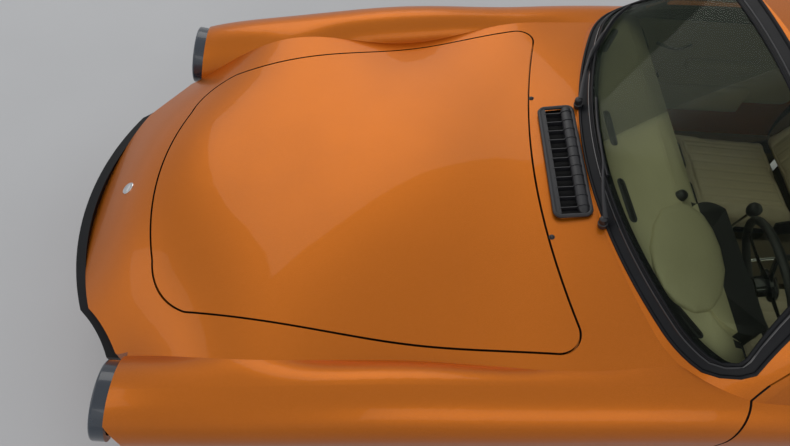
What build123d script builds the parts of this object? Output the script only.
# Sports coupe: a two-plus-two fixed-roof body with the engine behind the rear axle.
# Millimetres. +X is the nose, +Y the car's left side, +Z up; the origin is on the floor
# under the middle of the car. Left pieces are drawn, right pieces are mirrored from them.
import os
from math import asin, cos, pi, radians, sin, sqrt, tan

from build123d import *

os.makedirs("parts", exist_ok=True)

# Wheels and axles
wheelbase = 2271.0
front_axle_x = 1155.0
rear_axle_x = front_axle_x - wheelbase
front_track = 1380.0
rear_track = 1390.0
tyre_radius = 315.0
tyre_width = 190.0
rim_radius = 192.0
rim_wall = 8.0
rim_lip = 12.0
rim_disc = 22.0
rim_slots = 10
hub_radius = 66.0
spindle_radius = 24.0
spindle_length = 96.0
brake_radius = 141.0
brake_thickness = 20.0
kingpin_y = 598.0
kingpin_lean = 10.0
running_clearance = 0.05
joint_gap = 0.3

# Body shell
side_bulge = 0.22
panel = 18.0
panel_drop = -70.0
door_skin = 26.0
door_thickness = 88.0
door_step = 18.0
frame_thickness = 28.0
glass_thickness = 6.0
shut_gap = 6.0
pillar_gap = 15.0
belt_z = 930.0
seal_height = 28.0
seal_width = 34.0
front_arch_radius = 352.0
rear_arch_radius = 346.0
arch_offset = 12.0
liner = 10.0
rear_liner_y = 566.0

# Floor, bulkheads and front boot
floor_z = 190.0
floor_plate = 14.0
sill_height = 95.0
sill_inner_y = 610.0
sill_outer_y = 712.0
tunnel_half = 95.0
tunnel_height = 150.0
firewall_x = 545.0
rear_bulkhead_x = -930.0
bulkhead_half = 570.0
boot_floor_z = 380.0
boot_front_x = 1650.0
boot_half = 398.0
boot_rim_z = 640.0

# Lamps, trim and cabin
lamp_radius = 108.0
lamp_x = 1799.0
lamp_y = 692.0
lamp_z = 588.0
lamp_lean = 10.0
lamp_ring_depth = 40.0
lamp_ring_width = 16.0
lamp_dome = 12.0
lamp_recess = 14.0
strip_depth = 30.0
strip_height = 44.0
strip_z = 478.0
bumper_depth = 38.0
bumper_height = 105.0
bumper_z = 395.0
lamp_lens_depth = 14.0
seat_y = 352.0
seat_half = 238.0
seat_cushion_z = 455.0
wheel_ring_radius = 188.0
wheel_ring_section = 13.0
wheel_centre = (-52.0, 375.0, 822.0)
column_lean = 22.0

# Lower body sections, one row each:
# x, half width, crown y, crown z, valley y, valley z, middle z, sill y, sill z
body_sections = [
    (2080, 796, 692, 540, 540, 420, 470, 640, 205),
    (1890, 806, 694, 628, 556, 512, 615, 660, 195),
    (1780, 811, 697, 678, 562, 570, 682, 700, 188),
    (1620, 815, 700, 724, 592, 668, 724, 722, 182),
    (1155, 818, 704, 812, 622, 764, 792, 730, 180),
    (700, 815, 706, 856, 650, 830, 842, 735, 180),
    (480, 812, 706, 876, 662, 866, 884, 738, 180),
    (130, 810, 706, 902, 640, 908, 928, 740, 180),
    (-450, 810, 712, 912, 640, 918, 930, 740, 180),
    (-900, 820, 708, 908, 600, 914, 930, 740, 180),
    (-1250, 824, 680, 886, 560, 880, 890, 735, 182),
    (-1700, 786, 610, 792, 480, 770, 785, 700, 200),
    (-2080, 690, 510, 672, 380, 640, 655, 600, 240),
]

# Roof and fastback sections, one row each: x, middle z, z at roof_edge_half
roof_edge_half = 560.0
roof_sections = [
    (620, 1165, 1095),
    (30, 1266, 1190),
    (-400, 1312, 1242),
    (-800, 1252, 1172),
    (-1330, 990, 915),
    (-1700, 842, 775),
    (-2080, 668, 610),
]

# Cabin outlines at four heights, one row each: z, front x at the middle, bend x, bend y,
# corner x, corner y, side y at side_mid_x, rear x, rear y, back x
side_mid_x = -400.0
side_levels = [
    (760, 605, 480, 600, 225, 785, 800, -1830, 570, -2060),
    (930, 400, 305, 560, 100, 724, 732, -1500, 545, -1660),
    (1230, 24, -12, 420, -110, 530, 552, -880, 450, -990),
    (1360, -139, -158, 350, -225, 445, 474, -690, 380, -770),
]

# Door outline in side view: x, z, from the front of the belt round by the tail and the sill
door_belt_front = (122, 940)
door_top_front = (-78, 1150)
door_top_middle = (-400, 1214)
door_top_rear = (-775, 1150)
door_belt_rear = (-800, 940)
door_hip = (-812, 640)
door_heel = (-712, 352)
door_bottom_rear = (-640, 296)
door_bottom_front = (140, 296)
door_toe = (193, 350)
door_nose = (195, 640)
door_shoulder = (172, 845)


def body_form(side_inset, top_inset, drop):
    """Lower body hull with its sides and top moved in and its underside moved by drop."""
    with BuildPart() as form:
        for x, half, crown_y, crown_z, valley_y, valley_z, mid_z, sill_y, sill_z in body_sections:
            crown_r = half - crown_y
            low = (sill_y - side_inset, sill_z + drop)
            shoulder = (half - side_inset, crown_z - crown_r)
            crown = (crown_y, crown_z - top_inset)
            valley = (valley_y, valley_z - top_inset)
            round_mid = (
                crown_y + (crown_r - side_inset) * cos(pi / 4),
                shoulder[1] + (crown_r - top_inset) * sin(pi / 4),
            )
            bulge = (
                (low[0] + shoulder[0]) / 2 + side_bulge * (half - sill_y),
                (low[1] + shoulder[1]) / 2,
            )
            with BuildSketch(Plane.YZ.offset(x)):
                with BuildLine():
                    for s in (1, -1):
                        ThreePointArc((s * low[0], low[1]), (s * bulge[0], bulge[1]), (s * shoulder[0], shoulder[1]))
                        ThreePointArc(
                            (s * shoulder[0], shoulder[1]), (s * round_mid[0], round_mid[1]), (s * crown[0], crown[1])
                        )
                        TangentArc((s * crown[0], crown[1]), (s * valley[0], valley[1]), tangent=(-s, 0))
                    ThreePointArc(valley, (0, mid_z - top_inset), (-valley[0], valley[1]))
                    Line((-low[0], low[1]), low)
                make_face()
        loft()
    return form.part


def roof_form(inset):
    """Everything under the roof and fastback surface."""
    with BuildPart() as form:
        for x, mid_z, edge_z in roof_sections:
            with BuildSketch(Plane.YZ.offset(x)):
                with BuildLine():
                    edge = (roof_edge_half, edge_z - inset)
                    wide = 1.5 * roof_edge_half
                    ThreePointArc(edge, (0, mid_z - inset), (-edge[0], edge[1]))
                    drop_z = edge[1] - 1.1 * (mid_z - edge_z)
                    Polyline((-edge[0], edge[1]), (-wide, drop_z), (-wide, 0), (wide, 0), (wide, drop_z), edge)
                make_face()
        loft()
    return form.part


def cabin_outline(level, inset):
    """Cabin outline at one level: windscreen arc, tight corners, long sides and back."""
    z, front_x, bend_x, bend_y, corner_x, corner_y, mid_y, rear_x, rear_y, back_x = level
    front = (front_x - inset, 0)
    bend = (bend_x - inset, bend_y - inset / 2)
    corner = (corner_x - inset, corner_y - inset)
    rear = (rear_x + inset, rear_y - inset)
    rise = front[0] - bend[0]
    turn = asin(2 * rise * bend[1] / (rise**2 + bend[1]**2))
    with BuildSketch() as outline:
        with BuildLine():
            ThreePointArc((bend[0], -bend[1]), front, bend)
            for s in (1, -1):
                TangentArc((bend[0], s * bend[1]), (corner[0], s * corner[1]), tangent=(-sin(turn), s * cos(turn)))
                ThreePointArc((corner[0], s * corner[1]), (side_mid_x, s * (mid_y - inset)), (rear[0], s * rear[1]))
            ThreePointArc(rear, (back_x + inset, 0), (rear[0], -rear[1]))
        make_face()
    return outline.sketch


def cabin_walls(inset, foot_depth):
    """Upright hull inside the windscreen, side windows and tail, with a straight foot below."""
    with BuildPart() as form:
        for level in side_levels:
            outline = cabin_outline(level, inset)
            with BuildSketch(Plane.XY.offset(level[0])):
                add(outline)
        loft()
        if foot_depth:
            foot = cabin_outline(side_levels[0], inset)
            with BuildSketch(Plane.XY.offset(side_levels[0][0])):
                add(foot)
            extrude(amount=-foot_depth)
    return form.part


def cabin_form(inset, foot_depth=0):
    """Cabin hull: the walls under the roof surface."""
    with BuildPart() as form:
        add(cabin_walls(inset, foot_depth))
        add(roof_form(inset), mode=Mode.INTERSECT)
    return form.part


# Plan outline of the body's two ends: nose arc, notch, wing tip and tail, each as x, y
nose_tip_x = 2022.0
nose_corner = (1930.0, 400.0)
nose_end = (1804.0, 548.0)
notch = (1766.0, 574.0)
wing_tip_mid = (1790.0, 690.0)
wing_tip_side = (1712.0, 812.0)
tail_side = (-1760.0, 800.0)
tail_corner = (-1985.0, 560.0)
tail_tip_x = -2014.0
outline_half = 900.0


def plan_prism(grow, low, high):
    """Upright prism on the body's plan outline, its ends moved out by grow."""
    with BuildPart() as form:
        with BuildSketch(Plane.XY.offset(low)):
            with BuildLine():
                for s in (1, -1):
                    corner = (nose_corner[0] + grow, s * nose_corner[1])
                    TangentArc(
                        corner, (nose_end[0] + grow, s * (nose_end[1] + grow / 2)), tangent=(-0.76, s * 0.65)
                    )
                    Line((nose_end[0] + grow, s * (nose_end[1] + grow / 2)), (notch[0] + grow, s * notch[1]))
                    ThreePointArc(
                        (notch[0] + grow, s * notch[1]),
                        (wing_tip_mid[0] + grow, s * wing_tip_mid[1]),
                        (wing_tip_side[0] + grow, s * wing_tip_side[1]),
                    )
                    Polyline(
                        (wing_tip_side[0] + grow, s * wing_tip_side[1]),
                        (wing_tip_side[0] + grow, s * outline_half),
                        (tail_side[0], s * outline_half),
                        (tail_side[0], s * (tail_side[1] + grow)),
                    )
                    TangentArc(
                        (tail_side[0], s * (tail_side[1] + grow)),
                        (tail_corner[0] - grow, s * (tail_corner[1] + grow / 2)),
                        tangent=(-1, -s * 0.12),
                    )
                ThreePointArc(
                    (nose_corner[0] + grow, nose_corner[1]),
                    (nose_tip_x + grow, 0),
                    (nose_corner[0] + grow, -nose_corner[1]),
                )
                ThreePointArc(
                    (tail_corner[0] - grow, tail_corner[1] + grow / 2),
                    (tail_tip_x - grow, 0),
                    (tail_corner[0] - grow, -tail_corner[1] - grow / 2),
                )
            make_face()
        extrude(amount=high - low)
    return form.part


def hull(wall, drop, foot_depth):
    """Whole body as one closed form, moved in by a wall all round."""
    with BuildPart() as form:
        add(body_form(wall, wall, drop))
        add(cabin_form(wall, foot_depth))
        add(plan_prism(-wall, 0, 1400), mode=Mode.INTERSECT)
    return form.part


# Windscreen glass outline in front view: lower and upper corner, height at the middle, corner radii
screen_low = (688.0, 936.0)
screen_high = (480.0, 1190.0)
screen_foot_z = 925.0
screen_head_z = 1236.0
screen_low_radius = 20.0
screen_high_radius = 40.0
screen_back_x = -110.0


def window_prism(outline_margin):
    """Windscreen outline in front view, run through the front of the cabin along X."""
    m, n = outline_margin * seal_height, outline_margin * seal_width
    low = (screen_low[0] + n, screen_low[1] - m)
    high = (screen_high[0] + n * 0.8, screen_high[1] + m)
    with BuildPart() as form:
        with BuildSketch(Plane.YZ.offset(screen_back_x)):
            with BuildLine():
                ThreePointArc(low, (0, screen_foot_z - m), (-low[0], low[1]))
                Line((-low[0], low[1]), (-high[0], high[1]))
                ThreePointArc((-high[0], high[1]), (0, screen_head_z + m), high)
                Line(high, low)
            make_face()
            fillet(vertices().group_by(Axis.Y)[0], radius=screen_low_radius + 0.35 * n)
            fillet(vertices().sort_by(Axis.Y)[-2:], radius=screen_high_radius + 0.6 * n)
        extrude(amount=700)
    return form.part


def rear_window_prism(outline_margin):
    """Rear window outline in plan, run down through the fastback."""
    m = outline_margin * seal_width * 0.8
    with BuildPart() as form:
        with BuildSketch(Plane.XY.offset(900)):
            with BuildLine():
                front = (-868 + m, 405 + m)
                rear = (-1262 - m, 452 + m)
                ThreePointArc((front[0], -front[1]), (-848 + m, 0), front)
                Line(front, rear)
                ThreePointArc(rear, (-1284 - m, 0), (rear[0], -rear[1]))
                Line((rear[0], -rear[1]), (front[0], -front[1]))
            make_face()
            fillet(vertices(), radius=60 + m)
        extrude(amount=500)
    return form.part


def door_prism(grow, rear_grow, low, high):
    """Left door outline in side view, grown by a margin and cut between two heights."""
    def out(point, dx, dz):
        """One outline point moved out by the margin along the signs dx and dz."""
        return (point[0] + dx * (rear_grow if dx < 0 else grow), point[1] + dz * grow)

    with BuildPart() as form:
        with BuildSketch(Plane.XZ.offset(-outline_half)):
            with BuildLine():
                ThreePointArc(out(door_top_front, 1, 1), out(door_top_middle, 0, 1), out(door_top_rear, -1, 1))
                Polyline(
                    out(door_top_rear, -1, 1),
                    out(door_belt_rear, -1, 0),
                    out(door_hip, -1, 0),
                    out(door_heel, -1, -0.6),
                    out(door_bottom_rear, -1, -1),
                    out(door_bottom_front, 0, -1),
                    out(door_toe, 1, 0),
                    out(door_nose, 1, 0),
                )
                ThreePointArc(out(door_nose, 1, 0), out(door_shoulder, 1, 0), out(door_belt_front, 1, 0))
                Line(out(door_belt_front, 1, 0), out(door_top_front, 1, 1))
            make_face()
        extrude(amount=outline_half - 300)
        with BuildSketch(Plane.XY.offset(low)):
            Rectangle(4000, 2 * outline_half)
        extrude(amount=high - low, mode=Mode.INTERSECT)
    return form.part


# Side window outlines: x, z
door_window = [(96, 962), (-72, 1122), (-400, 1184), (-735, 1124), (-752, 962)]
quarter_window = [(-836, 972), (-822, 1108), (-930, 1088), (-1085, 985)]


def side_window_prism(corners, grow, radius):
    """Side window outline run across the left half of the cabin."""
    centre_x = sum(x for x, z in corners) / len(corners)
    centre_z = sum(z for x, z in corners) / len(corners)
    with BuildPart() as form:
        with BuildSketch(Plane.XZ.offset(-outline_half)):
            with BuildLine():
                moved = [
                    (x + grow * (1 if x > centre_x else -1), z + grow * (1 if z > centre_z else -1))
                    for x, z in corners
                ]
                Polyline(*moved, close=True)
            make_face()
            fillet(vertices(), radius=radius)
        extrude(amount=outline_half - 300)
    return form.part


def lid_prism(grow, low, high):
    """Front lid outline in plan, grown by a margin."""
    front, corner_front, corner_side = (1770 + grow, 0), (1722 + grow, 300), (1590, 471 + grow)
    side_mid, side_rear = (1086, 557 + grow), (598, 614 + grow)
    rear_round, rear_corner, rear = (548 - 0.7 * grow, 597 + 0.7 * grow), (535 - grow, 545), (595 - grow, 0)
    with BuildPart() as form:
        with BuildSketch(Plane.XY.offset(low)):
            with BuildLine():
                ThreePointArc((corner_front[0], -corner_front[1]), front, corner_front)
                ThreePointArc((corner_side[0], -corner_side[1]), (1686 + 0.7 * grow, -393 - 0.7 * grow),
                              (corner_front[0], -corner_front[1]))
                ThreePointArc(corner_front, (1686 + 0.7 * grow, 393 + 0.7 * grow), corner_side)
                for s in (1, -1):
                    ThreePointArc((corner_side[0], s * corner_side[1]), (side_mid[0], s * side_mid[1]),
                                  (side_rear[0], s * side_rear[1]))
                    ThreePointArc((side_rear[0], s * side_rear[1]), (rear_round[0], s * rear_round[1]),
                                  (rear_corner[0], s * rear_corner[1]))
                ThreePointArc(rear_corner, rear, (rear_corner[0], -rear_corner[1]))
            make_face()
        extrude(amount=high - low)
    return form.part


engine_lid_front_x = -1376.0
engine_lid_rear_x = -1952.0
engine_lid_front_half = 436.0
engine_lid_rear_half = 398.0


def engine_lid_prism(grow):
    """Engine lid outline in plan, grown by a margin."""
    with BuildPart() as form:
        with BuildSketch(Plane.XY.offset(600)):
            with BuildLine():
                front = (engine_lid_front_x + grow, engine_lid_front_half + grow)
                rear = (engine_lid_rear_x - grow, engine_lid_rear_half + grow)
                Polyline(front, rear, (rear[0], -rear[1]), (front[0], -front[1]), close=True)
            make_face()
            fillet(vertices(), radius=70 + grow)
        extrude(amount=500)
    return form.part


def block(x0, x1, y0, y1, z0, z1):
    """Plain box between two corners."""
    with BuildPart() as form:
        with BuildSketch(Plane.XY.offset(z0)):
            with Locations(((x0 + x1) / 2, (y0 + y1) / 2)):
                Rectangle(x1 - x0, y1 - y0)
        extrude(amount=z1 - z0)
    return form.part


def rod(start, end, radius):
    """Round bar between two points."""
    a, b = Vector(*start), Vector(*end)
    with BuildPart() as form:
        with BuildSketch(Plane(origin=a, z_dir=b - a)):
            Circle(radius)
        extrude(amount=(b - a).length)
    return form.part


def flipped(part):
    """The same piece on the right side."""
    return mirror(part, about=Plane.XZ)


def finish(part, name):
    """Label a finished piece and write it out."""
    part.label = name
    export_step(part, f"parts/{name}.step")


def lamp_plane(s, depth):
    """Plane of a headlamp on side s, its face moved forward by depth along the lamp's axis."""
    normal = Vector(cos(radians(lamp_lean)), 0, sin(radians(lamp_lean)))
    return Plane(origin=Vector(lamp_x, s * lamp_y, lamp_z) + normal * depth, x_dir=(0, 1, 0), z_dir=normal)


deck_foot = 200.0
outer = hull(0, 0, 0)
inner = hull(panel, panel_drop, deck_foot)

# Body shell with every opening cut
with BuildPart() as openings_left:
    add(door_prism(shut_gap, shut_gap, 0, belt_z))
    add(door_prism(shut_gap, pillar_gap, belt_z - 1, 1400))
    add(side_window_prism(quarter_window, 0, 18))

with BuildPart() as openings:
    add(openings_left.part)
    add(flipped(openings_left.part))
    add(window_prism(1))
    add(rear_window_prism(1))
    add(lid_prism(shut_gap, 500, 1000))
    add(engine_lid_prism(shut_gap))
    add(rod((front_axle_x, -outline_half, tyre_radius), (front_axle_x, outline_half, tyre_radius), front_arch_radius))
    add(rod((rear_axle_x, -outline_half, tyre_radius), (rear_axle_x, outline_half, tyre_radius), rear_arch_radius))

with BuildPart() as shell:
    add(outer)
    add(inner, mode=Mode.SUBTRACT)

with BuildPart() as body_open:
    add(shell.part)
    add(openings.part, mode=Mode.SUBTRACT)

# Rain gutters that the lids rest on, just under their edges
gutter_outside = 22.0
gutter_inside = 26.0
gutter_plate = 10.0
gutter_top = panel + joint_gap
cowl_boss_x = 529.0
cowl_boss_y = 330.0
cowl_boss_length = 58.0
cowl_boss_width = 90.0
cowl_boss_z = (800.0, 850.0)
with BuildPart() as gutter_sheet:
    add(body_form(gutter_top, gutter_top, panel_drop))
    add(body_form(gutter_top + gutter_plate, gutter_top + gutter_plate, panel_drop - 40), mode=Mode.SUBTRACT)
with BuildPart() as front_gutter:
    add(lid_prism(gutter_outside, 500, 1000))
    add(lid_prism(-gutter_inside, 499, 1001), mode=Mode.SUBTRACT)
    add(gutter_sheet.part, mode=Mode.INTERSECT)
with BuildPart() as deck_sheet:
    add(cabin_form(gutter_top, deck_foot))
    add(cabin_form(gutter_top + gutter_plate, deck_foot + 20), mode=Mode.SUBTRACT)
with BuildPart() as rear_gutter:
    add(engine_lid_prism(gutter_outside))
    add(engine_lid_prism(-gutter_inside), mode=Mode.SUBTRACT)
    add(deck_sheet.part, mode=Mode.INTERSECT)

# Plan lines where the panels meet, left side: x, y
wing_rear_x = 110.0
wing_seam = [(1745, 552), (1640, 440), (540, 540), (150, 668), (wing_rear_x, 668)]
nose_rear_x = 1600.0
roof_rear_x = -1322.0
sill_rear_x = -700.0

with BuildPart() as wing_zone:
    with BuildSketch(Plane.XY):
        with BuildLine():
            Polyline((2100, 552), *wing_seam, (wing_rear_x, outline_half), (2100, outline_half), close=True)
        make_face()
    extrude(amount=belt_z)

with BuildPart() as lamp_front:
    with BuildSketch(lamp_plane(1, -lamp_ring_depth)):
        with Locations((0, 60)):
            Rectangle(2 * lamp_radius + 60, 2 * lamp_radius + 124)
    extrude(amount=400)

with BuildPart() as lamp_face:
    with BuildSketch(lamp_plane(1, -lamp_ring_depth - panel)):
        Rectangle(2 * lamp_radius + 60, 4 * lamp_radius)
    extrude(amount=panel)
    add(outer, mode=Mode.INTERSECT)
    add(wing_zone.part, mode=Mode.INTERSECT)

with BuildPart() as wing_left:
    add(body_open.part)
    add(wing_zone.part, mode=Mode.INTERSECT)
    add(lamp_front.part, mode=Mode.SUBTRACT)
    add(lamp_face.part)
finish(wing_left.part, "wing_left")
finish(flipped(wing_left.part), "wing_right")

with BuildPart() as nose_panel:
    add(body_open.part)
    add(block(nose_rear_x, 2100, -outline_half, outline_half, 0, 1000), mode=Mode.INTERSECT)
    add(wing_zone.part, mode=Mode.SUBTRACT)
    add(flipped(wing_zone.part), mode=Mode.SUBTRACT)
finish(nose_panel.part, "nose_panel")

# Cowl between the lid and the windscreen, with the fresh air slot under its grille
grille_x = (445.0, 560.0)
grille_half = 218.0
grille_bar = 9.0
grille_cells = 11
grille_lean = 11.0
grille_rise = 10.0
grille_z = 882.0
grille_vane = 5.0
grille_length = grille_x[1] - grille_x[0]
grille_middle = Vector((grille_x[0] + grille_x[1]) / 2, 0, grille_z)
grille_plane = Plane(
    origin=grille_middle, x_dir=(0, 1, 0), z_dir=(sin(radians(grille_lean)), 0, cos(radians(grille_lean)))
)

with BuildPart() as grille_slot:
    with BuildSketch(grille_plane.offset(-60)):
        RectangleRounded(2 * grille_half - 2 * grille_bar, grille_length - 2 * grille_bar, 14)
    extrude(amount=160)

with BuildPart() as cowl_panel:
    add(body_open.part)
    add(block(wing_rear_x, 640, -outline_half, outline_half, 600, belt_z), mode=Mode.INTERSECT)
    add(wing_zone.part, mode=Mode.SUBTRACT)
    add(flipped(wing_zone.part), mode=Mode.SUBTRACT)
    add(grille_slot.part, mode=Mode.SUBTRACT)
    add(front_gutter.part)
    with BuildSketch(Plane.XY.offset(cowl_boss_z[0])):
        with Locations((cowl_boss_x, cowl_boss_y), (cowl_boss_x, -cowl_boss_y)):
            Rectangle(cowl_boss_length, cowl_boss_width)
    extrude(amount=cowl_boss_z[1] - cowl_boss_z[0])
finish(cowl_panel.part, "cowl_panel")

with BuildPart() as cowl_grille:
    with BuildSketch(grille_plane):
        RectangleRounded(2 * grille_half, grille_length, 20)
        RectangleRounded(2 * (grille_half - grille_bar), grille_length - 2 * grille_bar, 12, mode=Mode.SUBTRACT)
        with GridLocations(2 * (grille_half - grille_bar) / grille_cells, 0, grille_cells - 1, 1):
            Rectangle(grille_vane, grille_length - grille_bar)
        with Locations((0, grille_length * 0.12)):
            Rectangle(2 * grille_half - grille_bar, 7)
    extrude(amount=grille_rise + 4)
    add(outer, mode=Mode.SUBTRACT)
finish(cowl_grille.part, "cowl_grille")

with BuildPart() as roof_shell:
    add(body_open.part)
    add(block(roof_rear_x, 500, -outline_half, outline_half, belt_z, 1400), mode=Mode.INTERSECT)
finish(roof_shell.part, "roof_shell")

with BuildPart() as deck_boss:
    with BuildSketch(Plane.XY.offset(690)):
        with Locations((-1650, engine_lid_front_half + 2)):
            Rectangle(90, 24)
    extrude(amount=300)
    add(cabin_form(4), mode=Mode.INTERSECT)
    add(cabin_form(gutter_top + 5), mode=Mode.SUBTRACT)

with BuildPart() as rear_body:
    add(body_open.part)
    add(block(-2200, sill_rear_x, -outline_half, outline_half, 0, 1400), mode=Mode.INTERSECT)
    add(block(roof_rear_x, 500, -outline_half, outline_half, belt_z, 1400), mode=Mode.SUBTRACT)
    add(rear_gutter.part)
    add(deck_boss.part)
    add(flipped(deck_boss.part))
finish(rear_body.part, "rear_body")

with BuildPart() as front_lid:
    add(shell.part)
    add(lid_prism(0, 500, 1000), mode=Mode.INTERSECT)
finish(front_lid.part, "front_lid")

# Engine lid with its slatted air intake
slat_pitch = 30.0
slat_slot = 17.0
slat_rows = 7
slat_half = 205.0
slat_first_x = -1432.0

with BuildPart() as engine_lid:
    add(shell.part)
    add(engine_lid_prism(0), mode=Mode.INTERSECT)
    with BuildSketch(Plane.XY.offset(600)):
        with Locations(*[(slat_first_x - row * slat_pitch, 0) for row in range(slat_rows)]):
            Rectangle(slat_slot, 2 * slat_half)
    extrude(amount=500, mode=Mode.SUBTRACT)
finish(engine_lid.part, "engine_lid")

# Glass and its rubber surrounds
with BuildPart() as glass_shell:
    add(cabin_form(0))
    add(cabin_form(glass_thickness), mode=Mode.SUBTRACT)

with BuildPart() as cabin_shell:
    add(cabin_form(0))
    add(cabin_form(panel), mode=Mode.SUBTRACT)

with BuildPart() as windscreen:
    add(glass_shell.part)
    add(window_prism(0), mode=Mode.INTERSECT)
finish(windscreen.part, "windscreen")

with BuildPart() as rear_glass:
    add(glass_shell.part)
    add(rear_window_prism(0), mode=Mode.INTERSECT)
finish(rear_glass.part, "rear_glass")

with BuildPart() as front_ring:
    add(window_prism(1))
    add(window_prism(0), mode=Mode.SUBTRACT)
with BuildPart() as rear_ring:
    add(rear_window_prism(1))
    add(rear_window_prism(0), mode=Mode.SUBTRACT)
with BuildPart() as front_seal:
    add(cabin_shell.part)
    add(front_ring.part, mode=Mode.INTERSECT)
    add(openings_left.part, mode=Mode.SUBTRACT)
    add(flipped(openings_left.part), mode=Mode.SUBTRACT)
with BuildPart() as rear_seal:
    add(cabin_shell.part)
    add(rear_ring.part, mode=Mode.INTERSECT)
finish(Compound(children=[front_seal.part, rear_seal.part]), "glass_seals")

with BuildPart() as quarter_glass:
    add(glass_shell.part)
    add(side_window_prism(quarter_window, 0, 18), mode=Mode.INTERSECT)
finish(Compound(children=[quarter_glass.part, flipped(quarter_glass.part)]), "quarter_glasses")

with BuildPart() as door_glass:
    add(glass_shell.part)
    add(side_window_prism(door_window, 0, 20), mode=Mode.INTERSECT)
finish(door_glass.part, "door_glass_left")
finish(flipped(door_glass.part), "door_glass_right")

# Door: outer skin, stepped-in inner box and window frame in one pressing
with BuildPart() as door_skin_part:
    add(outer)
    add(door_prism(0, 0, 0, 1400), mode=Mode.INTERSECT)
    add(body_form(door_skin, door_skin, panel_drop), mode=Mode.SUBTRACT)
with BuildPart() as door_box_part:
    add(outer)
    add(door_prism(-door_step, -door_step, 0, belt_z), mode=Mode.INTERSECT)
    add(body_form(door_thickness, door_skin, panel_drop), mode=Mode.SUBTRACT)
with BuildPart() as door_left:
    add(door_skin_part.part)
    add(door_box_part.part)
    add(cabin_form(frame_thickness), mode=Mode.SUBTRACT)
    add(side_window_prism(door_window, 0, 20), mode=Mode.SUBTRACT)
finish(door_left.part, "door_left")
finish(flipped(door_left.part), "door_right")

# Rubber strip on the nose, and the rear bumper with its rubber face
with BuildPart() as nose_strip:
    add(plan_prism(strip_depth, strip_z, strip_z + strip_height))
    add(plan_prism(0, strip_z - 1, strip_z + strip_height + 1), mode=Mode.SUBTRACT)
    add(block(1700, 2200, -nose_end[1], nose_end[1], 0, 1000), mode=Mode.INTERSECT)
finish(nose_strip.part, "nose_strip")

with BuildPart() as rear_bumper:
    add(plan_prism(bumper_depth, bumper_z, bumper_z + bumper_height))
    add(plan_prism(0, bumper_z - 1, bumper_z + bumper_height + 1), mode=Mode.SUBTRACT)
    add(block(-2200, -1850, -outline_half, outline_half, 0, 1000), mode=Mode.INTERSECT)
finish(rear_bumper.part, "rear_bumper")

with BuildPart() as lens_band:
    add(plan_prism(lamp_lens_depth, 300, 700))
    add(plan_prism(0, 299, 701), mode=Mode.SUBTRACT)
with BuildPart() as indicator:
    add(lens_band.part)
    add(block(1700, 2100, 350, 520, 395, 452), mode=Mode.INTERSECT)
finish(Compound(children=[indicator.part, flipped(indicator.part)]), "indicator_lamps")
with BuildPart() as tail_lamp:
    add(lens_band.part)
    add(block(-2200, -1900, 400, 650, 525, 605), mode=Mode.INTERSECT)
finish(Compound(children=[tail_lamp.part, flipped(tail_lamp.part)]), "tail_lamps")

# Headlamps: dark ring and domed lens, leaning back in the wing tips
with BuildPart() as lamp_ring:
    with BuildSketch(lamp_plane(1, -lamp_ring_depth)):
        Circle(lamp_radius)
        Circle(lamp_radius - lamp_ring_width, mode=Mode.SUBTRACT)
    extrude(amount=lamp_ring_depth)
    fillet(edges().group_by(SortBy.LENGTH)[-1].sort_by(Axis.X)[-1], radius=lamp_ring_width * 0.5)
with BuildPart() as lamp_lens:
    with BuildSketch(lamp_plane(1, -lamp_ring_depth)):
        Circle(lamp_radius - lamp_ring_width)
    extrude(amount=lamp_ring_depth - lamp_recess)
    with BuildSketch(lamp_plane(1, -lamp_recess)):
        Circle(lamp_radius - lamp_ring_width)
    extrude(amount=lamp_dome, taper=38)
finish(Compound(children=[lamp_ring.part, flipped(lamp_ring.part)]), "headlamp_rings")
finish(Compound(children=[lamp_lens.part, flipped(lamp_lens.part)]), "headlamp_lenses")


def screen_point(y, z, stand_off):
    """Point on the windscreen at height z and side y, moved out by stand_off along X."""
    low, high = side_levels[1], side_levels[2]
    t = (z - low[0]) / (high[0] - low[0])
    front_x, bend_x, bend_y = (low[i] + t * (high[i] - low[i]) for i in (1, 2, 3))
    rise = front_x - bend_x
    radius = (bend_y**2 + rise**2) / (2 * rise)
    return (front_x - radius + sqrt(radius**2 - y**2) + stand_off, y, z)


# Wipers parked along the foot of the windscreen
wiper_rod = 5.0
wiper_cap_radius = 9.0
wiper_stand_off = 26.0
wiper_arms = [(432, -215, [(-330, 962), (-520, 985)]), (431, 245, [(90, 950), (-150, 955)])]
wiper_parts = []
for pivot_x, pivot_y, arm in wiper_arms:
    foot_z = 884.0
    with BuildPart() as wiper:
        add(rod((pivot_x, pivot_y, foot_z - 10), (pivot_x, pivot_y, foot_z + 52), wiper_cap_radius))
        add(outer, mode=Mode.SUBTRACT)
        points = [(pivot_x, pivot_y, foot_z + 44)] + [screen_point(y, z, wiper_stand_off) for y, z in arm]
        for start, end in zip(points, points[1:]):
            add(rod(start, end, wiper_rod))
            with Locations(end):
                Sphere(wiper_rod)
    wiper_parts.append(wiper.part)
finish(Compound(children=wiper_parts), "wipers")

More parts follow.
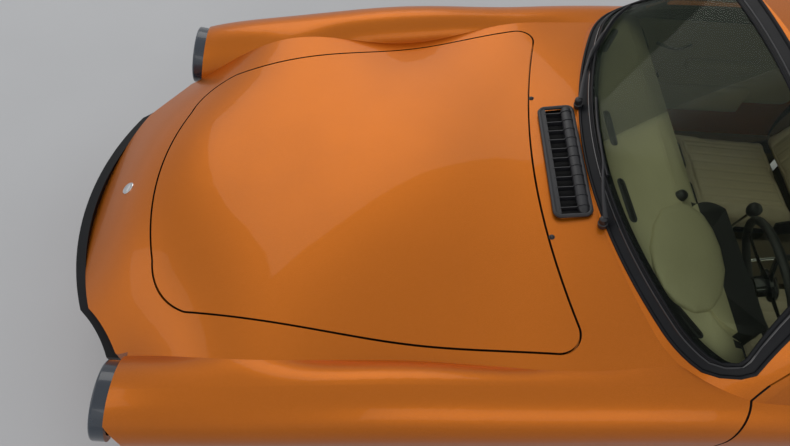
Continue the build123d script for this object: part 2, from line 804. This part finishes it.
# Dashboard under the windscreen, with the instrument hood in front of the driver
dash_profile = [(392, 912), (205, 916), (130, 890), (96, 838), (100, 775), (180, 768), (392, 800)]
dash_half = 690.0
hood_centre = (120.0, 372.0)
hood_radii = (112.0, 205.0)
hood_z = (780.0, 992.0)
hood_face_x = 70.0
with BuildPart() as dashboard:
    with BuildSketch(Plane.XZ.offset(-dash_half)):
        with BuildLine():
            Polyline(*dash_profile, close=True)
        make_face()
    extrude(amount=2 * dash_half)
    with BuildSketch(Plane.XY.offset(hood_z[0])):
        with Locations(hood_centre):
            Ellipse(*hood_radii)
    extrude(amount=hood_z[1] - hood_z[0])
    with BuildSketch(Plane.YZ.offset(hood_face_x - 110)):
        with Locations((hood_centre[1], 790)):
            Rectangle(500, 600)
    extrude(amount=110, mode=Mode.SUBTRACT)
    add(cabin_form(panel + joint_gap), mode=Mode.INTERSECT)
finish(dashboard.part, "dashboard")

# Steering column and wheel
column_axis = Vector(-cos(radians(column_lean)), 0, sin(radians(column_lean)))
wheel_middle = Vector(*wheel_centre)
column_radius = 30.0
column_start = 42.0
column_length = 190.0
spoke_width = 30.0
spoke_thickness = 8.0
with BuildPart() as steering_column:
    add(rod(tuple(wheel_middle - column_axis * (column_start + column_length)),
            tuple(wheel_middle - column_axis * column_start), column_radius))
    add(dashboard.part, mode=Mode.SUBTRACT)
finish(steering_column.part, "steering_column")

ring_normal = (sin(radians(column_lean)), 0, cos(radians(column_lean)))
wheel_plane = Plane(origin=wheel_middle, x_dir=(0, 1, 0), z_dir=column_axis)
with BuildPart() as steering_wheel:
    with BuildSketch(wheel_plane.offset(-column_start + joint_gap)):
        Circle(column_radius)
    extrude(amount=column_start + 12)
    with BuildSketch(wheel_plane.offset(-5)):
        for angle in (0, 180, 270):
            with Locations(Location((0, 0), angle)):
                with Locations((wheel_ring_radius / 2, 0)):
                    Rectangle(wheel_ring_radius, spoke_width)
    extrude(amount=spoke_thickness)
    with BuildSketch(Plane(origin=wheel_middle, x_dir=(0, 1, 0), z_dir=ring_normal)):
        with Locations((wheel_ring_radius, 0)):
            Circle(wheel_ring_section)
    revolve(axis=Axis(wheel_middle, column_axis), revolution_arc=360)
finish(steering_wheel.part, "steering_wheel")

# Seats: leaning front seats and a small rear bench, drawn in side view
seat_profile = [
    (-130, 300), (-122, 420), (-150, seat_cushion_z), (-520, 430), (-690, 905), (-742, 938),
    (-800, 905), (-640, 380), (-560, 300),
]
with BuildPart() as seat_left:
    with BuildSketch(Plane.XZ.offset(-(seat_y + seat_half))):
        with BuildLine():
            Polyline(*seat_profile, close=True)
        make_face()
        fillet(vertices(), radius=24)
    extrude(amount=2 * seat_half)
finish(seat_left.part, "seat_left")
finish(flipped(seat_left.part), "seat_right")

rear_seat_half = 530.0
hump_z = floor_z + tunnel_height
rear_seat_foot = hump_z + joint_gap
rear_seat_profile = [
    (-740, rear_seat_foot), (-735, 418), (-870, 400), (-905, 800), (rear_bulkhead_x + joint_gap, 800),
    (rear_bulkhead_x + joint_gap, rear_seat_foot),
]
with BuildPart() as rear_seat:
    with BuildSketch(Plane.XZ.offset(-rear_seat_half)):
        with BuildLine():
            Polyline(*rear_seat_profile, close=True)
        make_face()
    extrude(amount=2 * rear_seat_half)
finish(rear_seat.part, "rear_seat")

# Floor pan: floor, sills, tunnel, bulkheads, boot tub, wheel liners and seat rails
floor_top = floor_z + floor_plate
jack_x = -290.0
jack_radius = 14.0
jack_depth = 60.0
jack_z = floor_z + sill_height / 2
tow_radius = 12.0
tow_half = 9.0
tow_x = boot_front_x + 62.0
tow_z = boot_floor_z - 30.0
tow_boss = 26.0
front_liner_radius = front_arch_radius + arch_offset
rear_liner_radius = rear_arch_radius + arch_offset
sill_front_x = front_axle_x - front_liner_radius - liner
sill_back_x = rear_axle_x + rear_liner_radius + liner
shelf_z = 872.0
liner_foot_z = 250.0
rail_half = 16.0


def wheel_liner(axle_x, radius, inner_y, wall_foot_z):
    """Arched wheel liner and its inner wall above wall_foot_z, left side."""
    with BuildPart() as form:
        with BuildSketch(Plane.XZ.offset(-inner_y)):
            with Locations((axle_x, tyre_radius)):
                Circle(radius + liner)
        extrude(amount=-(outline_half - inner_y))
        with BuildSketch(Plane.XZ.offset(-inner_y - liner)):
            with Locations((axle_x, tyre_radius)):
                Circle(radius)
        extrude(amount=-(outline_half - inner_y), mode=Mode.SUBTRACT)
        add(block(axle_x - 500, axle_x + 500, 0, outline_half, liner_foot_z, 1000), mode=Mode.INTERSECT)
        add(block(axle_x - radius, axle_x + radius, 0, inner_y + liner, 0, wall_foot_z), mode=Mode.SUBTRACT)
    return form.part


hinge_heights = (400.0, 700.0)
hinge_leaf = 44.0
with BuildPart() as floor_side:
    add(block(sill_back_x, sill_front_x, sill_inner_y, sill_outer_y, floor_z, floor_z + sill_height))
    for rail_y in (seat_y - 0.6 * seat_half, seat_y + 0.6 * seat_half):
        add(block(-560, -160, rail_y - rail_half, rail_y + rail_half, floor_z, 300))
    add(inner, mode=Mode.INTERSECT)
    add(rod((jack_x, sill_outer_y - jack_depth, jack_z), (jack_x, sill_outer_y + 50, jack_z), jack_radius),
        mode=Mode.SUBTRACT)

with BuildPart() as floor_pan:
    add(block(sill_back_x, firewall_x, -sill_inner_y, sill_inner_y, floor_z, floor_top))
    add(block(rear_bulkhead_x, sill_back_x, -bulkhead_half, bulkhead_half, floor_z, floor_top))
    add(block(rear_bulkhead_x, firewall_x, -tunnel_half, tunnel_half, floor_z, floor_z + tunnel_height))
    add(block(rear_bulkhead_x - 1, firewall_x + 1, floor_plate - tunnel_half, tunnel_half - floor_plate,
              floor_z - 1, floor_z + tunnel_height - floor_plate), mode=Mode.SUBTRACT)
    add(block(rear_bulkhead_x, sill_back_x, -bulkhead_half, bulkhead_half, floor_top - 1, hump_z))
    add(block(rear_bulkhead_x + floor_plate, sill_back_x - floor_plate, floor_plate - bulkhead_half,
              bulkhead_half - floor_plate, floor_z - 1, hump_z - floor_plate), mode=Mode.SUBTRACT)
    add(floor_side.part)
    add(flipped(floor_side.part))
finish(floor_pan.part, "floor_pan")

# Front bulkhead with the boot tub ahead of it, and the tow eye under the tub
with BuildPart() as firewall:
    add(block(firewall_x, firewall_x + floor_plate, -sill_inner_y, sill_inner_y, floor_z, 800))
with BuildPart() as boot_tub:
    add(block(firewall_x + floor_plate, boot_front_x, -boot_half - liner, boot_half + liner,
              boot_floor_z, boot_floor_z + liner))
    add(block(boot_front_x - liner, boot_front_x, -boot_half - liner, boot_half + liner, boot_floor_z, 600))
    for s in (1, -1):
        add(block(firewall_x + floor_plate, boot_front_x, *sorted((s * boot_half, s * (boot_half + liner))),
                  boot_floor_z, boot_rim_z))
    add(inner, mode=Mode.INTERSECT)
    add(block(boot_front_x - 120, tow_x, -tow_half, tow_half, tow_z - tow_boss, boot_floor_z + 1))
    add(rod((tow_x, -tow_half, tow_z), (tow_x, tow_half, tow_z), tow_boss))
    add(rod((tow_x, -outline_half, tow_z), (tow_x, outline_half, tow_z), tow_radius), mode=Mode.SUBTRACT)
finish(firewall.part, "front_bulkhead")
finish(boot_tub.part, "boot_tub")

# Rear bulkhead with the shelf over the engine
with BuildPart() as rear_bulkhead:
    add(block(rear_bulkhead_x - floor_plate, rear_bulkhead_x, -bulkhead_half, bulkhead_half, floor_z, shelf_z))
    add(block(-1320, rear_bulkhead_x, -540, 540, shelf_z - floor_plate, shelf_z))
finish(rear_bulkhead.part, "rear_bulkhead")

# Wheel liners, one over each wheel
with BuildPart() as front_liner:
    add(wheel_liner(front_axle_x, front_liner_radius, boot_half, liner_foot_z))
    add(inner, mode=Mode.INTERSECT)
    add(boot_tub.part, mode=Mode.SUBTRACT)
with BuildPart() as rear_liner:
    add(wheel_liner(rear_axle_x, rear_liner_radius, rear_liner_y, 460))
    add(inner, mode=Mode.INTERSECT)
    add(floor_pan.part, mode=Mode.SUBTRACT)
    add(rear_bulkhead.part, mode=Mode.SUBTRACT)
finish(Compound(children=[front_liner.part, flipped(front_liner.part), rear_liner.part, flipped(rear_liner.part)]),
       "wheel_liners")

# Hinge pillars ahead of the doors, with the hinge leaves reaching to the door's edge
with BuildPart() as hinge_leaves:
    for leaf_z in hinge_heights:
        add(block(130, 250, 715, 775, leaf_z, leaf_z + hinge_leaf))
    add(door_prism(joint_gap, joint_gap, 0, belt_z), mode=Mode.SUBTRACT)
with BuildPart() as hinge_pillar:
    add(block(110, 285, 690, outline_half, floor_z, 850))
    add(door_prism(shut_gap, shut_gap, 0, belt_z), mode=Mode.SUBTRACT)
    add(hinge_leaves.part)
    add(inner, mode=Mode.INTERSECT)
    add(floor_pan.part, mode=Mode.SUBTRACT)
finish(Compound(children=[hinge_pillar.part, flipped(hinge_pillar.part)]), "hinge_pillars")

# Outer sill covers between the wheel arches
jack_hole = jack_radius + 6
with BuildPart() as sill_cover:
    add(body_open.part)
    add(block(sill_rear_x, wing_rear_x, 500, outline_half, 0, 500), mode=Mode.INTERSECT)
    add(rod((jack_x, 500, jack_z), (jack_x, outline_half, jack_z), jack_hole), mode=Mode.SUBTRACT)
finish(Compound(children=[sill_cover.part, flipped(sill_cover.part)]), "sill_covers")

# Engine as one plain block with its transaxle
engine_x = (-1790.0, -1235.0)
engine_half = 315.0
engine_z = (240.0, 640.0)
engine_side_edge = 40.0
engine_top_edge = 30.0
transaxle_radius = 105.0
transaxle_z = 315.0
with BuildPart() as engine_block:
    add(block(*engine_x, -engine_half, engine_half, *engine_z))
    fillet(edges().filter_by(Axis.Z), radius=engine_side_edge)
    fillet(edges().group_by(Axis.Z)[-1], radius=engine_top_edge)
    add(rod((engine_x[1], 0, transaxle_z), (rear_bulkhead_x - floor_plate, 0, transaxle_z), transaxle_radius))
finish(engine_block.part, "engine_block")

# Exhaust: cross silencer behind the engine, two pipes into it and one tail pipe under the rear valance
silencer_x = -1868.0
silencer_z = 268.0
silencer_radius = 72.0
silencer_half = 285.0
pipe_radius = 24.0
pipe_wall = 4.0
pipe_y = 170.0
tail_pipe_start = Vector(silencer_x, 215, 222)
tail_pipe_end = Vector(-2040, 215, 190)
tail_pipe_bore = 55.0
tail_pipe_axis = (tail_pipe_end - tail_pipe_start).normalized()
with BuildPart() as exhaust:
    add(rod((silencer_x, -silencer_half, silencer_z), (silencer_x, silencer_half, silencer_z), silencer_radius))
    for s in (1, -1):
        add(rod((engine_x[0], s * pipe_y, silencer_z), (silencer_x, s * pipe_y, silencer_z), pipe_radius))
    add(rod(tuple(tail_pipe_start), tuple(tail_pipe_end), pipe_radius))
    add(rod(tuple(tail_pipe_end - tail_pipe_axis * tail_pipe_bore), tuple(tail_pipe_end + tail_pipe_axis),
            pipe_radius - pipe_wall), mode=Mode.SUBTRACT)
finish(exhaust.part, "exhaust")

# Front suspension carried by the firewall: cross member, torsion tubes, lower arms and ball joints
lean = tan(radians(kingpin_lean))


def kingpin(z):
    """Side distance of the steering axis at height z."""
    return kingpin_y + (tyre_radius - z) * lean


arm_z = 222.0
arm_pivot_y = 300.0
arm_radius = 13.0
torsion_tube_radius = 17.0
member_half = 45.0
member_rise = 22.0
ball_z = 205.0
ball_depth = 26.0
ball_radius = 20.0
with BuildPart() as front_arms:
    add(rod((front_axle_x, arm_pivot_y, arm_z), (front_axle_x, kingpin(ball_z) - 6, ball_z - ball_depth), arm_radius))
    add(rod((front_axle_x, kingpin(ball_z - ball_depth), ball_z - ball_depth),
            (front_axle_x, kingpin(ball_z), ball_z), ball_radius))
    add(rod((firewall_x + floor_plate, arm_pivot_y, arm_z), (front_axle_x + 40, arm_pivot_y, arm_z),
            torsion_tube_radius))
with BuildPart() as front_suspension:
    add(block(front_axle_x - member_half, front_axle_x + member_half, -arm_pivot_y, arm_pivot_y,
              arm_z - member_rise, arm_z + member_rise))
    add(front_arms.part)
    add(flipped(front_arms.part))
finish(front_suspension.part, "front_suspension")

# Rear suspension: torsion tube on the rear bulkhead, trailing arms, half shafts and hub carriers
tube_x = rear_bulkhead_x - floor_plate - 34.0
tube_z = 230.0
tube_radius = 28.0
tube_half = 540.0
trailing_arm_radius = 26.0
bracket_y = (430.0, 470.0)
shaft_radius = 15.0
boot_radius = 44.0
rear_hub_y = rear_track / 2 - 50.0
shaft_root_y = transaxle_radius - 10


def axle_rod(x, y0, y1, radius):
    """Round bar across the car at axle height."""
    return rod((x, y0, tyre_radius), (x, y1, tyre_radius), radius)


with BuildPart() as rear_side:
    add(rod((tube_x, 0, tube_z), (tube_x, tube_half, tube_z), tube_radius))
    add(block(tube_x, rear_bulkhead_x - floor_plate, *bracket_y, tube_z - 20, tube_z + 20))
    add(rod((tube_x, tube_half - 40, tube_z), (rear_axle_x, rear_hub_y - 80, tyre_radius - 25), trailing_arm_radius))
    add(axle_rod(rear_axle_x, shaft_root_y, rear_hub_y - 20, shaft_radius))
    add(axle_rod(rear_axle_x, shaft_root_y, shaft_root_y + 70, boot_radius))
    add(axle_rod(rear_axle_x, rear_hub_y - 110, rear_hub_y, boot_radius + 4))
    add(axle_rod(rear_axle_x, rear_hub_y - 6, rear_hub_y + spindle_length, spindle_radius))
    add(engine_block.part, mode=Mode.SUBTRACT)
with BuildPart() as rear_suspension:
    add(rear_side.part)
    add(flipped(rear_side.part))
finish(rear_suspension.part, "rear_suspension")

# Steered knuckle: upright, strut, spindle and brake caliper, left side
knuckle_outer_y = front_track / 2 - 50.0
knuckle_z = (262.0, 368.0)
knuckle_half = 42.0
upright_radius = 26.0
upright_top_z = 420.0
strut_radius = 24.0
strut_top_z = tyre_radius + front_liner_radius - 14.0
caliper_x = (front_axle_x - 158, front_axle_x - 92)
with BuildPart() as knuckle_left:
    add(rod((front_axle_x, kingpin(ball_z + joint_gap), ball_z + joint_gap),
            (front_axle_x, kingpin(upright_top_z), upright_top_z), upright_radius))
    add(rod((front_axle_x, kingpin(upright_top_z - 20), upright_top_z - 20),
            (front_axle_x, kingpin(strut_top_z), strut_top_z), strut_radius))
    add(block(front_axle_x - knuckle_half, front_axle_x + knuckle_half, kingpin_y - 18, knuckle_outer_y, *knuckle_z))
    add(block(front_axle_x - 120, front_axle_x, knuckle_outer_y - 34, knuckle_outer_y - 2, 290, 340))
    add(block(*caliper_x, knuckle_outer_y - 14, knuckle_outer_y + 42, *knuckle_z))
    add(axle_rod(front_axle_x, knuckle_outer_y, knuckle_outer_y + 28, brake_radius + 5), mode=Mode.SUBTRACT)
    add(axle_rod(front_axle_x, knuckle_outer_y - 6, knuckle_outer_y + spindle_length, spindle_radius))
finish(knuckle_left.part, "knuckle_left")
finish(flipped(knuckle_left.part), "knuckle_right")

# Wheel about its own centre, outer face towards +Y: rim with slotted disc, hub and brake disc, then the tyre
brake_y = -45.0
rim_half = 82.0
rim_flange = 6.0
disc_y = (22.0, 22.0 + rim_disc)
hub_rise = 8.0
hub_wall = 12.0
slot_length = 70.0
slot_width = 30.0
slot_circle = 0.68 * rim_radius
rim_profile = [
    (rim_radius - rim_wall, -rim_half), (rim_radius + rim_lip, -rim_half),
    (rim_radius + rim_lip, rim_flange - rim_half), (rim_radius, 2 * rim_flange - rim_half),
    (rim_radius, rim_half - 2 * rim_flange), (rim_radius + rim_lip, rim_half - rim_flange),
    (rim_radius + rim_lip, rim_half), (rim_radius - rim_wall, rim_half),
]
hub_profile = [
    (spindle_radius, disc_y[1] + hub_rise), (hub_radius, disc_y[1] + hub_rise), (rim_radius - 4, disc_y[1]),
    (rim_radius - 4, disc_y[0]), (hub_radius, disc_y[0]), (hub_radius, brake_y + brake_thickness),
    (brake_radius, brake_y + brake_thickness), (brake_radius, brake_y), (spindle_radius, brake_y),
]
with BuildPart() as rim:
    with BuildSketch(Plane.XY):
        with BuildLine():
            Polyline(*rim_profile, close=True)
        make_face()
        with BuildLine():
            Polyline(*hub_profile, close=True)
        make_face()
    revolve(axis=Axis.Y)
    with BuildSketch(Plane.XZ.offset(1 - disc_y[0])):
        with PolarLocations(slot_circle, rim_slots):
            SlotOverall(slot_length, slot_width)
    extrude(amount=-(rim_disc + 20), mode=Mode.SUBTRACT)
    with BuildSketch(Plane.XZ.offset(1 - brake_y)):
        Circle(spindle_radius + running_clearance)
    extrude(amount=-spindle_length, mode=Mode.SUBTRACT)
    with BuildSketch(Plane.XZ.offset(-disc_y[1] - hub_rise)):
        Circle(spindle_radius + hub_wall)
    extrude(amount=-hub_rise)

tyre_bead = rim_half - 13.0
bead_top = rim_radius + rim_lip + 4
wall_radius = 248.0
shoulder_half = 82.0
tread_half = 60.0
with BuildPart() as tyre:
    with BuildSketch(Plane.XY):
        with BuildLine():
            Line((rim_radius, -tyre_bead), (rim_radius, tyre_bead))
            Line((tyre_radius, tread_half), (tyre_radius, -tread_half))
            for s in (1, -1):
                Line((rim_radius, s * tyre_bead), (bead_top, s * (tyre_bead + 4)))
                ThreePointArc((bead_top, s * (tyre_bead + 4)), (wall_radius, s * tyre_width / 2),
                              (tyre_radius - 14, s * shoulder_half))
                ThreePointArc((tyre_radius - 14, s * shoulder_half), (tyre_radius - 3, s * (shoulder_half - 8)),
                              (tyre_radius, s * tread_half))
        make_face()
    revolve(axis=Axis.Y)

for name, axle_x, track in (("front", front_axle_x, front_track), ("rear", rear_axle_x, rear_track)):
    for side, mark in ((1, "left"), (-1, "right")):
        for piece, shape in (("rim", rim.part), ("tyre", tyre.part)):
            turned = shape if side > 0 else flipped(shape)
            finish(turned.moved(Location((axle_x, side * track / 2, tyre_radius))), f"{piece}_{name}_{mark}")
